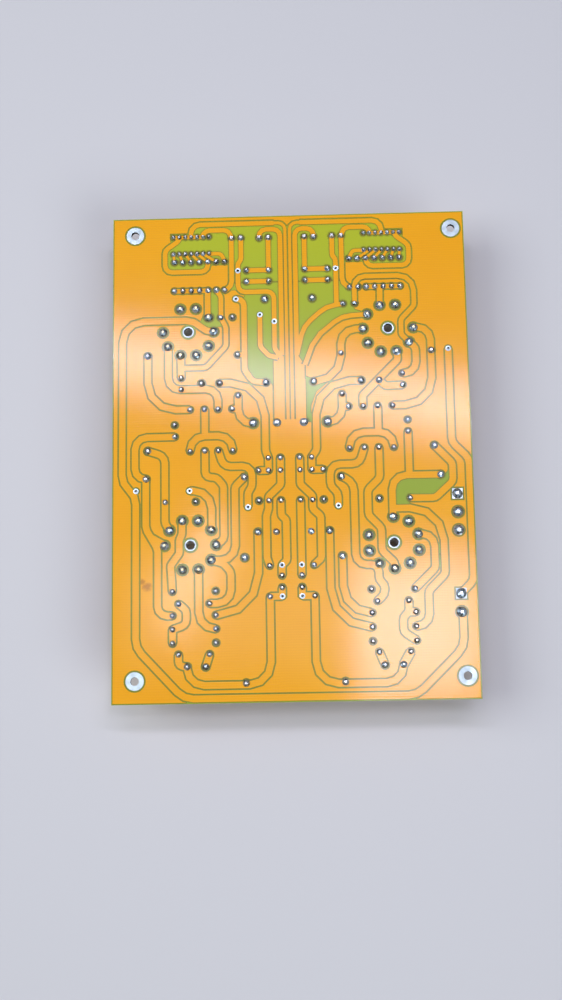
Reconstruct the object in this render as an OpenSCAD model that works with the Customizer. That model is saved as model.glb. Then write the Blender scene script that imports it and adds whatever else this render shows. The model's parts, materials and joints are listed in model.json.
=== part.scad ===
// Valve phono preamplifier board, standing on its tallest parts with the solder side up.
// Positions on the board are [x, y] from its top left corner, x to the right and y down,
// as seen on the solder side. at() turns them into the model's own X and Y.

/* [Board] */
// Width of the board along X
board_w = 150; // [148:1:170]
// Length of the board along Y
board_l = 207; // [206:1:230]
// Thickness of the glass fibre core
board_t = 1.6; // [0.8:0.1:2.4]
// Thickness of the copper and its mask on each side
copper_t = 0.1; // [0.05:0.01:0.2]
// Bare rim between the copper and the cut edge
edge_margin = 0.5; // [0.3:0.1:0.8]

/* [Mounting holes] */
// Distance between hole centres along X
mount_spacing_x = 135; // [130:0.5:135]
// Distance between hole centres along Y
mount_spacing_y = 190; // [186:0.5:190]
// First hole centre from the left edge
mount_x = 9.5; // [8:0.1:10]
// First hole centre from the top edge
mount_y = 7.6; // [6:0.1:8]
// Radius of the screw holes
mount_hole_r = 1.75; // [1.5:0.05:2]
// Radius of the tinned ring round each screw hole
mount_ring_r = 3.75; // [3:0.05:4]
// Radius of the opening in the copper round each ring
mount_clear_r = 4.5; // [4.2:0.05:4.8]

/* [Tracks and pads] */
// Width of the bare line that isolates a track
track_gap = 0.65; // [0.4:0.05:0.8]
// Radius of the pads of resistors, box capacitors and signal headers
small_pad_r = 1.25; // [1.1:0.05:1.35]
// Radius of the pads of film and tubular capacitors
medium_pad_r = 1.5; // [1.4:0.05:1.6]
// Radius of the pads of valve sockets, reservoirs and power headers
large_pad_r = 1.85; // [1.7:0.05:2]
// Half the side of the square pad that marks the first pin of a power header
square_pad = 2.2; // [2:0.05:2.4]
// Width of the bare ring round a large pad
ring_gap = 0.9; // [0.7:0.05:1]
// Radius of the pads of the switch pins
switch_pad_r = 1.0; // [0.8:0.05:1.1]
// Radius of the open plated holes
via_hole_r = 0.55; // [0.4:0.05:0.7]
// Radius of the tinned ring round an open plated hole
via_ring_r = 1.15; // [1:0.05:1.3]

/* [Solder and leads] */
// Height of a solder joint over its pad, for a small pad
solder_h = 1.1; // [0.8:0.1:1.6]
// How far clipped leads stand out of the solder
lead_out = 0.35; // [0.1:0.05:0.8]
// Radius of the wire leads of small parts
wire_r = 0.35; // [0.25:0.05:0.45]
// Radius of the wire leads of large capacitors
thick_wire_r = 0.5; // [0.4:0.05:0.6]
// Clearance of a lead in its hole
hole_clear = 0.15; // [0.1:0.05:0.2]
// Radius at which leads are bent down
bend_r = 1.2; // [0.8:0.1:1.4]

/* [Valve sockets] */
// Radius of the circle of solder pins
socket_pin_circle_r = 10.7; // [10.5:0.05:10.9]
// Radius of the circle of contact holes
contact_circle_r = 5.95; // [5.8:0.05:6.1]
// Radius of the ceramic body
socket_r = 11.9; // [11.7:0.1:12.2]
// Height of the ceramic body
socket_h = 9.5; // [7:0.5:14]
// Radius of the centre hole in body and board
socket_centre_r = 1.9; // [1.6:0.1:2.1]
// Radius of the holes that take the valve pins
contact_hole_r = 0.6; // [0.55:0.05:0.65]
// Thickness of the contact metal
contact_t = 0.4; // [0.3:0.05:0.5]

/* [Switches] */
// Pin pitch along the switch
switch_pitch = 2.54; // [2.5:0.01:2.6]
// Distance between the two rows of pins
switch_row = 7.62; // [7.5:0.01:7.8]
// Width of the switch housing across its rows
switch_w = 9.8; // [9.4:0.1:10]
// Height of the switch housing
switch_h = 5.6; // [5:0.1:7]
// Travel of a slider
slider_travel = 1.6; // [1:0.1:1.8]
// Running clearance round a slider
slider_clear = 0.1; // [0.05:0.01:0.15]
// Width of a slider's knob along the housing
knob_w = 1.2; // [1:0.1:1.4]
// Length of a slider's knob along its travel
knob_l = 1.5; // [1.2:0.1:1.8]

/* [Capacitors] */
// Diameter of the reservoir capacitors
reservoir_d = 20; // [18:0.5:21]
// Height of the reservoir capacitors
reservoir_h = 25; // [25:0.5:40]
// Pin pitch of the reservoir capacitors
reservoir_pitch = 10; // [9.5:0.1:10.5]
// Diameter of the output capacitors
output_d = 25; // [20:0.5:25]
// Length of the output capacitors
output_l = 44; // [36:0.5:45]
// Diameter of the coupling capacitors
coupling_d = 14; // [10:0.5:15]
// Length of the coupling capacitors
coupling_l = 31; // [26:0.5:34]
// Diameter of the filter capacitors
filter_d = 12; // [9:0.5:14]
// Length of the filter capacitors
filter_l = 27; // [22:0.5:30]
// Height of the film capacitors with wide pins
film_h = 9; // [6:0.5:12]
// Height of the small box capacitors
small_box_h = 7.5; // [5:0.5:10]

/* [Resistors] */
// Diameter of the half watt resistors
short_resistor_d = 2.5; // [1.8:0.1:3]
// Length of the half watt resistors
short_resistor_l = 6.6; // [5:0.1:8]
// Diameter of the two watt resistors
long_resistor_d = 3.9; // [3:0.1:4.5]
// Length of the two watt resistors
long_resistor_l = 11; // [9:0.1:12.5]
// Gap between a resistor and the board
standoff = 0.3; // [0.1:0.05:0.3]

/* [Connectors] */
// Pin pitch of the signal headers
signal_pitch = 3.96; // [3.8:0.01:4.1]
// Pin pitch of the power headers
power_pitch = 7.62; // [7.5:0.01:7.8]
// Distance of the power header pins from the right edge
power_inset = 6.9; // [6.5:0.1:8]
// Side of a square header pin
header_pin = 1.1; // [0.9:0.05:1.2]
// Length of the header pins below the board
header_reach = 12; // [9:0.5:16]
// Thickness of the header bases
header_base_t = 3.2; // [2.5:0.1:4]

/* [Hidden] */
$fn = 32;
eps = 0.01;

// Levels: the parts hang below the board, and the tallest of them stand on Z = 0
seat_z = max(reservoir_h, output_d);
core_z = seat_z + copper_t;
solder_z = core_z + board_t + copper_t;

function at(p) = [p.x - board_w / 2, board_l / 2 - p.y];
function turned(p) = [for (q = p) at(q)];

// Placement of the parts. Two-lead parts are [x, y, down]: the first lead, and 1 if the
// second lies below it or 0 if it lies to its right.
sockets = [[32.05, 51, 0, 6], [116.6, 51.2, 0, 9], [32.5, 142.2, 0, 4], [116.4, 142.65, 18, 6]];
switches = [[25.9, 8.75], [107.25, 8.75]];
switch_ways = 7;
signal_at = [[50.8, 9.7], [62.6, 9.8], [81.9, 9.8], [93.7, 9.7]];
heater_at = [board_w - power_inset, 122.8];
supply_at = [board_w - power_inset, 164.2];
reservoir_at = [[64.05, 91.1], [85.3, 91.1]];
short_span = 12.75;
long_span = 17.8;
coupling_span = 41;
output_span = 51.3;
filter_span = 36.5;
film_span = 7.6;
box_span = 5;
load_pitch = 3.57;
load_ways = 7;
load_at = [[26.3, 20], [100.8, 20]];
short_at = concat(
    [for (a = load_at) for (i = [0:load_ways - 1]) [a.x + i * load_pitch, a.y, 1]],
    [[22.1, 124, 0], [110.9, 124.2, 0], [27.5, 166.4, 0], [27.4, 187.1, 0], [108.9, 166.7, 0],
     [109.1, 187.4, 0], [65.1, 151.3, 1], [83.4, 151.3, 1]],
    [for (x = [61.1, 65.2, 70.2, 78.3, 83.3, 87.9]) [x, 111.4, 1]]);
long_at = concat(
    [for (x = [32.6, 38.7, 44.4, 50.4, 99.1, 105.2, 111.3, 117.5]) [x, 84.8, 1]],
    [[52.9, 61.4, 1], [96.5, 61.6, 1]],
    [for (y = [161.3, 171.2, 176.8, 182.5]) [25, y, 0]],
    [for (y = [161.8, 171.4, 177.2, 183]) [106.6, y, 0]]);
coupling_at = [[14.9, 61.2, 1], [134.4, 61.3, 1], [14.1, 114.1, 0], [95.5, 114.6, 0]];
output_at = [[54.9, 147.8, 1], [95.1, 147.9, 1]];
filter_at = [[64.65, 37.2, 1], [84.85, 37.2, 1]];
film_at = [[37.6, 73.6, 0], [104.6, 73.7, 0], [60.5, 137.3, 0], [82.4, 137.3, 0], [30.9, 192.1, 0],
    [111.2, 192.6, 0]];
box_at = [[29, 71, 1], [122, 71, 1], [26.2, 91.3, 1], [123.6, 91, 1], [70.1, 155.4, 1],
    [78.3, 155.4, 1], [45.9, 44.9, 0], [97.8, 40, 0], [65.2, 106.1, 0], [78.2, 106.1, 0],
    [57.05, 24.2, 1], [66.45, 24.2, 1], [82, 24.2, 1], [91.5, 24.2, 1]];
vias = [[53.4, 24.3], [95.1, 24.2], [52.4, 36.8], [62.5, 44], [68.6, 47.1], [141.6, 60.7],
    [9.9, 119.1], [32.3, 119.4], [56.5, 126.7], [93.9, 126.8], [70.15, 151.1], [78.3, 151.1],
    [70.15, 164], [78.3, 164]];
mounts = [for (i = [0:1]) for (j = [0:1])
    [mount_x + i * mount_spacing_x, mount_y + j * mount_spacing_y]];

// Pads of each kind, worked out from the placement of the parts
function second(p, span) = p.z == 1 ? [p.x, p.y + span] : [p.x + span, p.y];
function pair(p, span) = [[p.x, p.y], second(p, span)];
function pairs(list, span) = [for (p = list) each pair(p, span)];
function pin(s, k) = [sockets[s].x, sockets[s].y]
    + socket_pin_circle_r * [cos(36 * k + sockets[s].z), sin(36 * k + sockets[s].z)];
function sw(side, row, i) = switches[side] + [i * switch_pitch, row * switch_row];
socket_pads = [for (s = [0:3]) for (k = [0:9]) if (k != sockets[s][3]) pin(s, k)];
switch_pads = [for (s = [0:1]) for (r = [0:1]) for (i = [0:switch_ways - 1]) sw(s, r, i)];
signal_pads = [for (p = signal_at) for (i = [0:1]) p + [i * signal_pitch, 0]];
power_pads = concat([for (i = [0:2]) heater_at + [0, i * power_pitch]],
    [for (i = [0:1]) supply_at + [0, i * power_pitch]]);
reservoir_pads = [for (p = reservoir_at) for (i = [-1, 1]) p + [i * reservoir_pitch / 2, 0]];
axial_pads = concat(pairs(coupling_at, coupling_span), pairs(output_at, output_span),
    pairs(filter_at, filter_span));
box_pads = concat(pairs(film_at, film_span), pairs(box_at, box_span));
resistor_pads = concat(pairs(short_at, short_span), pairs(long_at, long_span));

// Tracks of the solder side: [width, bend radius or radii, points]
fine = 1.35;
slim = 2;
main = 2.75;
foot_y = board_l - 2;
right_x = board_w - 1.6;
foot_x = board_w - 6.5;
top_tracks = [
    [slim, 4, [[33.4, 8.7], [33.4, 3.2], [69, 3.2]]],
    [fine, 3, [[66, 3.2], [73.75, 3.2], [73.75, 89.8]]],
    [slim, 3, [[38.4, 8.7], [38.6, 5.9], [49.5, 5.9], [50.8, 9.7]]],
    [slim, 4, [[114.9, 8.7], [114.9, 3.2], [80, 3.2]]],
    [fine, 3, [[83, 3.2], [75.7, 3.2], [75.7, 89.8]]],
    [slim, 3, [[109.9, 8.7], [109.7, 5.9], [99, 5.9], [97.7, 9.7]]],
    [slim, 3, [[62.6, 9.8], [62.6, 6], [71.6, 6], [71.6, 62]]],
    [slim, 3, [[85.9, 9.8], [85.9, 6], [77.9, 6], [77.9, 62]]],
    [slim, 3, [[28.5, 8.9], [28, 10.4], [22.3, 14.5], [22.3, 24.3], [40.6, 24.3], [40.6, 20]]],
    [slim, 3, [[120.5, 8.9], [121, 10.4], [126.3, 14.5], [126.3, 23.5], [108.2, 23.5], [108, 20]]],
    [1.6, 0, [[25.9, 8.75], [38.6, 8.75]]],
    [1.6, 0, [[109.8, 8.75], [122.5, 8.75]]],
    [1.6, 2, [[41.1, 16.4], [46.3, 16.4], [47.8, 20]]],
    [1.6, 2, [[107.2, 16.5], [102.4, 16.5], [100.8, 20]]],
    [slim, 4, [[50.7, 9.7], [50.7, 31], [47.8, 33]]],
    [slim, 3, [[54.8, 9.9], [54.8, 19.5], [53.4, 21], [53.4, 33.8], [68.6, 33.8], [68.6, 59],
        [71.3, 63]]],
    [slim, 0, [[66.5, 9.7], [66.5, 24.2]]],
    [slim, 3, [[62.5, 44], [62.5, 58], [66, 62], [70, 63]]],
    [slim, 0, [[81.9, 9.8], [81.9, 24.2]]],
    [slim, 3, [[93.7, 9.8], [93.7, 18.5], [95.1, 20], [95.1, 41]]],
    [slim, 12, [[97.8, 40], [90.5, 41.2], [81, 49.5], [77.9, 62]]],
    [slim, 4, [[97.7, 9.7], [97.7, 31], [100.8, 32.8]]],
    [slim, 12, [[107.7, 44.9], [97, 45.5], [85.5, 55], [81.2, 66.5]]],
    [2.4, 3, [[52.4, 36.8], [55.8, 36.8], [55.8, 68], [59, 73], [64.6, 73.7]]],
    [slim, 0, [[52.9, 61.4], [55.8, 61.4]]],
    [slim, 0, [[57.05, 24.2], [66.4, 24.2]]],
    [slim, 0, [[57.05, 29.2], [66.4, 29.2]]],
    [slim, 0, [[82, 24.2], [91.5, 24.2]]],
    [slim, 0, [[82, 29.2], [91.5, 29.2]]],
    [slim, 0, [[26.3, 32.8], [40.6, 32.8]]],
    [2.4, 3, [[40.4, 32.8], [40.4, 44.7]]],
    [slim, 3, [[44.1, 32.8], [46, 35.5], [46, 45], [48, 49], [48, 57.5], [39.5, 66.7], [29, 66.7]]],
    [slim, 0, [[108, 32.8], [122.2, 32.8]]],
    [2.4, 0, [[113.6, 32.8], [113.4, 41]]],
    [slim, [4.5, 7.5, 3, 3, 2], [[102.8, 40.2], [102.8, 28.1], [127.9, 28.1], [127.9, 41.5],
        [122.1, 47.5], [122.1, 54], [125.1, 57.3]]],
];
upper_tracks = [
    [main, 9, [pin(0, 0), [39.5, 51], [34.5, 45.9], [4.15, 45.9], [4.15, 116], [9.85, 121],
        [9.85, 184], [29.5, foot_y], [124, foot_y], [foot_x, 186], [foot_x, 171.8]]],
    [main, 5, [[141.6, 60.7], [141.6, 101], [right_x, 108], [right_x, 159], supply_at]],
    [main, 11.8, [[14.9, 61.2], [14.9, 84.7], [32.6, 84.7]]],
    [main, 5, [[23.6, 57.3], [23.6, 76], [44.4, 76], [44.4, 84.8]]],
    [main, 0, [[28.8, 61.3], [29, 71]]],
    [main, [14.5, 3, 0], [[45.2, 73.6], [64.1, 73.6], [64.1, 103], [65.2, 106.1], [65.2, 111.4]]],
    [main, 0, [[61.1, 111.4], [65.2, 111.4]]],
    [main, 6, [[52.9, 79.2], [52.9, 91.3], [59.05, 91.3]]],
    [main, 0, [[50.4, 84.8], [52.9, 84.8]]],
    [main, [6.5, 11.6], [[105.8, 51.2], [96.5, 51.2], [96.5, 73.7], [84.85, 73.7]]],
    [main, [15, 3, 0], [[104.6, 73.7], [85.4, 73.7], [85.4, 103], [83.3, 106.1], [83.3, 111.4]]],
    [main, 0, [[83.3, 111.4], [87.9, 111.4]]],
    [main, 6, [[96.5, 79.4], [96.5, 91.3], [90.3, 91.3]]],
    [main, 0, [[99.1, 84.8], [96.5, 84.8]]],
    [main, [5.5, 11.5], [[127.2, 51.1], [134.3, 51.1], [134.3, 84.7], [117.5, 84.7]]],
    [main, [3, 5], [[125.1, 57.3], [127.9, 60], [127.9, 71], [122, 71]]],
    [main, 2, [[119.9, 61.4], [120.3, 65], [105.1, 80.3], [105.2, 84.8]]],
    [main, 2, [[112.2, 73.7], [114.7, 76.3], [122, 76.1]]],
    [main, 0, [[38.8, 84.8], [38.8, 96]]],
    [main, 6, [[32.6, 102.6], [32.6, 96.2], [50.4, 96.2], [50.4, 102.6]]],
    [main, 0, [[111.3, 84.8], [111.3, 96]]],
    [main, 6, [[99.1, 102.6], [99.1, 96], [117.5, 96], [117.5, 102.6]]],
];
lower_tracks = [
    [main, 5, [[26.2, 96.3], [9.5, 96.35], [9.5, 114.1], [14.1, 114.1]]],
    [main, 4, [[14, 114.1], [14, 135], [18.9, 143.5], [18.9, 171.2], [25, 171.2]]],
    [main, 4, [[16, 138.5], [22.1, 142.1]]],
    [main, 4, [[14.9, 102.2], [22, 104.5], [22, 133], [24.3, 136.2]]],
    [main, 3, [[38.8, 102.6], [38.8, 113.7], [43.5, 114], [46.4, 117.5], [46.4, 140],
        [43.2, 142.2]]],
    [main, 4, [[44.4, 102.6], [46.5, 109.4], [58.3, 109.4], [58.3, 118], [56.5, 120.5],
        [56.5, 126.7]]],
    [main, [3, 6], [[55.1, 114.1], [51.1, 118], [51.1, 148.8], [41.2, 148.6]]],
    [main, [3, 4, 5.5], [[41.2, 148.6], [46, 150], [49.1, 153.5], [49.1, 166.4], [40.2, 166.4]]],
    [main, 7.5, [[32.3, 119.4], [41.4, 119.4], [41.4, 135.9]]],
    [main, 2, [[29.1, 132.1], [29, 137.5], [27.9, 140], [27.9, 145.5], [24.3, 150.5],
        [25, 161.3]]],
    [main, 7, [[35.8, 152.3], [35.8, 176.9], [42.8, 176.8]]],
    [main, 0, [[25, 176.8], [25, 182.5]]],
    [main, 3, [[27.5, 166.4], [30.7, 169], [30.7, 175], [25, 176.8]]],
    [main, 2, [[27.4, 187.1], [27.4, 191.3], [30.9, 192.3]]],
    [main, 0, [[40.15, 187.1], [38.5, 192.1]]],
    [main, 17, [[60.5, 137.3], [60.5, 171.3], [42.8, 171.2]]],
    [main, 2, [[70.25, 106.1], [70.2, 117.5], [65, 122.5], [65, 127.5], [64.05, 130.5],
        [64.05, 148], [65.1, 151.3]]],
    [main, 2, [[70.2, 124.1], [70.2, 130.5], [72.2, 132.3], [72.2, 149.3], [70.15, 151.1],
        [70.15, 155.4]]],
    [main, [9, 7], [[65.15, 164], [65.15, 199.7], [31, 199.7], [30.9, 192.1]]],
    [main, 0, [[70.1, 160.4], [70.1, 164.6]]],
    [main, 0, [[70.1, 164], [65.1, 164]]],
    [main, 0, [[78.25, 106.1], [78.3, 111.4]]],
    [main, 2, [[78.3, 111.4], [78.3, 117.5], [83.3, 122.5], [83.3, 128], [86.5, 131],
        [86.5, 148.5], [83.4, 151.3]]],
    [main, 0, [[78.3, 124.1], [78.3, 155.4]]],
    [main, 0, [[78.3, 160.4], [78.3, 164.6]]],
    [main, 0, [[78.3, 164], [83.4, 164]]],
    [main, [9, 7], [[83.4, 164], [83.4, 199.8], [118.8, 199.8], [118.8, 192.6]]],
    [3.2, 0, [[118.8, 192.6], [121.85, 187.4]]],
    [main, 0, [[109.1, 187.4], [111.2, 192.6]]],
    [main, 16, [[90, 137.3], [90, 177.2], [106.6, 177.2]]],
    [main, 11.2, [[95.1, 147.9], [95.1, 171.4], [106.6, 171.4]]],
    [main, 4, [[105.2, 102.6], [103, 109.4], [90.8, 109.4], [90.8, 118.5], [93.9, 121.5],
        [93.9, 126.8]]],
    [main, 6, [[95.5, 114.6], [100.5, 117], [100.5, 151.6], [109.8, 151.6], [109.8, 158],
        [112, 160], [112, 164], [108.9, 166.7]]],
    [main, 3, [[111.3, 102.6], [111.3, 115.5], [106.2, 120.5], [106.2, 131], [111.4, 136.5],
        [111.4, 146], [116.4, 151], [116.4, 153.3]]],
    [main, 0, [[123.6, 96], [123.6, 114.6]]],
    [main, 0, [[122.2, 114.6], [136.5, 114.6]]],
    [main, 6, [[126, 114.6], [116.3, 114.6], [116.3, 132]]],
    [main, [17, 3, 3, 5], [[116.3, 128.4], [136.9, 128.4], [136.9, 156], [129.9, 163],
        [129.9, 177.2], [124.4, 177.2]]],
    [main, 3, [[134.4, 102.3], [141.5, 109.8], [141.5, 117.5], [134, 124.3], [123.65, 124.2]]],
    [main, [5, 3], [[126.55, 139.3], [133, 139.6], [133, 153.5], [124.4, 161.8]]],
    [main, 3, [[121.65, 166.7], [121.65, 171.4], [119.2, 173.5], [119.2, 179.5], [124.4, 183]]],
    [main, 0, [[121.65, 171.4], [124.4, 171.4]]],
];
tracks = concat(top_tracks, upper_tracks, lower_tracks);

// Lines that only cut the copper: the same form as a track, with the line's own width
slits = [
    [track_gap, 3, [[67.7, 62], [67.7, 90]]],
    [track_gap, 3, [[82.8, 61.5], [81.3, 66], [81.3, 72.5]]],
];

// Areas of the solder side with no copper at all, each an outline
bare_areas = [
    [[24.4, 6.9], [35, 6.9], [36, 4.4], [72.5, 4.4], [72.5, 8], [70, 8], [70, 36], [66, 33],
        [49.8, 33], [49.8, 21.7], [42.4, 21.7], [40.6, 24.3], [22.3, 24.3], [22.3, 14.5],
        [25.5, 11.4], [24.4, 10.4]],
    [[124.1, 6.9], [113.6, 6.9], [112.5, 4.4], [77, 4.4], [77, 8], [79, 8], [79, 55], [84, 46],
        [94, 41], [94, 35], [95, 21.7], [106.5, 21.7], [108, 23.5], [126.3, 23.5], [126.3, 14.5],
        [123, 11.4], [124.1, 10.4]],
    [[55.8, 35], [67.5, 35], [67.5, 58], [71, 63], [67.7, 63], [67.7, 76], [66, 72.3],
        [60.3, 71.7], [57, 67]],
    [[42, 32.5], [45, 32.5], [45, 41], [46.5, 49], [36, 49], [39.5, 41]],
    [[96, 31], [97.5, 31], [99, 33.5], [101.6, 33.5], [101.6, 41], [103, 42.5], [106, 43.5],
        [97, 45], [95, 43]],
    [[97, 41.5], [92, 42], [84, 47.5], [80, 54], [78.6, 62.5], [80.5, 65.5], [86, 54], [97, 46],
        [99, 44]],
    [[81.3, 71], [81.3, 91.2], [83.4, 91.2], [83.6, 84], [86, 78], [91, 74], [84.8, 72.4]],
    [[118, 116.3], [137, 116.3], [140, 112], [140, 116.7], [133.5, 122.8], [122, 126.8],
        [118, 126.8]],
];

// Round corners of a path: each corner becomes an arc of its radius, or less where a side is short
function unit(v) = v / norm(v);
function bend_at(r, i) = is_list(r) ? r[i - 1] : r;
function corner(a, b, c, r, share_a, share_c) =
    let (u = unit(a - b), v = unit(c - b), turn = 180 - acos(max(-1, min(1, u * v))))
    turn < 4 || r == 0 ? [b] :
    let (t = min(r * tan(turn / 2), norm(a - b) * share_a, norm(c - b) * share_c),
        o = b + unit(u + v) * t / sin(turn / 2), from = b + u * t - o, to = b + v * t - o,
        steps = max(1, ceil(turn / 31)))
    [for (i = [0:steps]) let (s = i / steps)
        o + (sin((1 - s) * turn) * from + sin(s * turn) * to) / sin(turn)];
function rounded(p, r) = let (n = len(p) - 1)
    [p[0], for (i = [1:1:n - 1]) each corner(p[i - 1], p[i], p[i + 1], bend_at(r, i),
        i == 1 ? 0.98 : 0.49, i == n - 1 ? 0.98 : 0.49), p[n]];

// The outline of a path drawn w wide, with square ends
function side_of(d) = [-d.y, d.x];
function edge(p, i, w) =
    let (n = len(p) - 1, a = side_of(unit(p[min(i + 1, n)] - p[min(i, n - 1)])),
        b = side_of(unit(p[max(i, 1)] - p[max(i - 1, 0)])))
    p[i] + (a + b) / (1 + a * b) * w / 2;
function stroke(p, w) = concat([for (i = [0:len(p) - 1]) edge(p, i, w)],
    [for (i = [len(p) - 1:-1:0]) edge(p, i, -w)]);
function track_line(t, extra = 0) = turned(stroke(rounded(t[2], t[1]), t[0] + extra));

// Drilled radii and wire radii by kind of part
wire_hole_r = wire_r + hole_clear;
thick_hole_r = thick_wire_r + hole_clear;
contact_pin_r = 0.5;
contact_pin_hole_r = contact_pin_r + hole_clear;
switch_pin = 0.5;
switch_hole_r = switch_pin / sqrt(2) + hole_clear / 2;
header_hole_r = header_pin / sqrt(2) + hole_clear;
reservoir_pin_w = 1.5;
reservoir_pin_t = 0.8;
reservoir_hole_r = norm([reservoir_pin_w, reservoir_pin_t]) / 2 + hole_clear;
plating = 0.1;
plating_clear = 0.03;
flange_t = 0.06;
sliver = 0.08;
solder_clear = 0.03;
lead_top = solder_z + solder_h + lead_out;

// Every drilled hole of the board: [places, radius]
drilled = [
    [resistor_pads, wire_hole_r], [box_pads, wire_hole_r], [axial_pads, thick_hole_r],
    [socket_pads, contact_pin_hole_r], [switch_pads, switch_hole_r],
    [signal_pads, header_hole_r], [power_pads, header_hole_r],
    [reservoir_pads, reservoir_hole_r],
    [vias, via_hole_r + plating + plating_clear],
    [mounts, mount_hole_r + plating + plating_clear],
    [[for (s = sockets) [s.x, s.y]], socket_centre_r + plating + plating_clear],
];

// Pads of the solder side: [places, radius, width of the bare ring]. The pads that belong to
// the ground plane have no ring.
ground_pads = [reservoir_pads[1], reservoir_pads[2], second(film_at[2], film_span),
    [film_at[3].x, film_at[3].y]];
function is_ground(p) = len([for (g = ground_pads) if (norm(p - g) < eps) g]) > 0;
power_pad_r = large_pad_r + 0.4;
socket_ring_r = socket_centre_r + 0.5;
pad_kinds = [
    [resistor_pads, small_pad_r, track_gap],
    [pairs(box_at, box_span), small_pad_r, track_gap],
    [pairs(film_at, film_span), medium_pad_r, track_gap],
    [axial_pads, medium_pad_r, track_gap],
    [socket_pads, large_pad_r, ring_gap],
    [reservoir_pads, large_pad_r, ring_gap],
    [switch_pads, switch_pad_r, track_gap],
    [signal_pads, small_pad_r, track_gap],
    [power_pads, power_pad_r, track_gap],
    [vias, via_ring_r, track_gap],
    [mounts, mount_ring_r, mount_clear_r - mount_ring_r],
    [[for (s = sockets) [s.x, s.y]], socket_ring_r, ring_gap],
];
square_pads = [heater_at, supply_at];

module board_outline(margin = 0) {
    square([board_w - 2 * margin, board_l - 2 * margin], center = true);
}

// Few-sided holes through the copper, just wide enough to clear the drilled hole inside
module copper_holes() {
    for (d = drilled) let (sides = d[1] > 1.5 ? 12 : 5)
        for (p = d[0]) translate(at(p)) circle(r = d[1] / cos(180 / sides), $fn = sides);
}

module solder_pattern() {
    difference() {
        board_outline(edge_margin);
        for (t = tracks) polygon(track_line(t, 2 * track_gap));
        for (s = slits) polygon(track_line(s));
        for (a = bare_areas) polygon(turned(a));
        for (k = pad_kinds) for (p = k[0]) if (!is_ground(p))
            translate(at(p)) circle(r = k[1] + k[2], $fn = k[1] > 2 ? 24 : 12);
        for (p = square_pads) translate(at(p)) square(2 * (square_pad + track_gap), center = true);
    }
    intersection() {
        board_outline(edge_margin);
        for (t = tracks) polygon(track_line(t));
    }
    for (k = pad_kinds) for (p = k[0]) translate(at(p)) circle(r = k[1], $fn = k[1] > 2 ? 20 : 10);
    for (p = square_pads) translate(at(p)) square(2 * square_pad, center = true);
}

// The component side is a ground plane with a bare ring round every lead, and the tracks that
// carry the heater supply from socket to socket and join the open plated holes
component_tracks = [
    [fine, 3, [[9.9, 119.1], [9.9, 131], [16, 137], [22.1, 142.1]]],
    [fine, 3, [pin(2, 3), [30.5, 157], [48.5, 159], [48.5, 193.5], [101.5, 193.5], [101.5, 158],
        pin(3, 3)]],
    [fine, 3, [pin(2, 8), [37.8, 128], [37.8, 121], [35.65, 117.5], [35.65, 79], [34.6, 76.5],
        [34.6, 66], pin(0, 2)]],
    [fine, 3, [pin(3, 8), [120.55, 126], [120.55, 80.5], [119.1, 77.5], [119.1, 66], pin(1, 2)]],
    [fine, 3, [pin(3, 9), [138, 137], [139.5, 133], heater_at + [0, power_pitch]]],
];
module component_pattern() {
    difference() {
        board_outline(edge_margin);
        for (t = component_tracks) polygon(track_line(t, 2 * track_gap));
        for (k = pad_kinds) for (p = k[0]) if (!is_ground(p))
            translate(at(p)) circle(r = k[1] + k[2], $fn = k[1] > 2 ? 16 : 6);
    }
    for (t = component_tracks) polygon(track_line(t));
    for (k = pad_kinds) for (p = k[0]) translate(at(p)) circle(r = k[1], $fn = k[1] > 2 ? 16 : 6);
}

// What the pattern in its child leaves bare within one of seven bands across the board.
// Slivers too narrow to etch are smoothed away.
module bare_band(j) {
    l = board_l / 7;
    reach = 1;
    offset(delta = 0) intersection() {
        translate([-board_w / 2 - reach, j * l - board_l / 2 - (j == 0 ? reach : 0)])
            square([board_w + 2 * reach, l + (j == 0 || j == 6 ? reach : 0)]);
        difference() {
            board_outline(-2 * reach);
            offset(delta = sliver / 2) offset(delta = -sliver) offset(delta = sliver / 2)
                children();
        }
    }
}
module copper_sheet() {
    linear_extrude(copper_t) difference() {
        board_outline();
        bare_band(0) children();
        bare_band(1) children();
        bare_band(2) children();
        bare_band(3) children();
        bare_band(4) children();
        bare_band(5) children();
        bare_band(6) children();
        copper_holes();
    }
}

module board() {
    color([0.52, 0.6, 0.2]) translate([0, 0, core_z]) linear_extrude(board_t) difference() {
        board_outline();
        for (d = drilled) for (p = d[0]) translate(at(p)) circle(r = d[1]);
    }
}

module solder_side_copper() {
    color([0.94, 0.62, 0.08]) translate([0, 0, core_z + board_t]) copper_sheet() solder_pattern();
}

module component_side_copper() {
    color([0.9, 0.6, 0.1]) translate([0, 0, seat_z]) copper_sheet() component_pattern();
}

// A plated hole: a thin tube through the board with a tinned ring on each face
module plated_hole(p, hole_r, ring_r) {
    wall = hole_r + plating;
    translate(at(p)) rotate_extrude() polygon([
        [hole_r, seat_z - flange_t], [ring_r, seat_z - flange_t], [ring_r, seat_z], [wall, seat_z],
        [wall, solder_z], [ring_r, solder_z], [ring_r, solder_z + flange_t],
        [hole_r, solder_z + flange_t]]);
}
module plated_holes() {
    color([0.85, 0.87, 0.88]) for (p = vias) plated_hole(p, via_hole_r, via_ring_r);
}
module mounting_rings() {
    color([0.8, 0.86, 0.9]) for (p = mounts) plated_hole(p, mount_hole_r, mount_ring_r);
}
module socket_eyelets() {
    color([0.82, 0.86, 0.88]) for (s = sockets) plated_hole([s.x, s.y], socket_centre_r,
        socket_ring_r);
}

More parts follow.
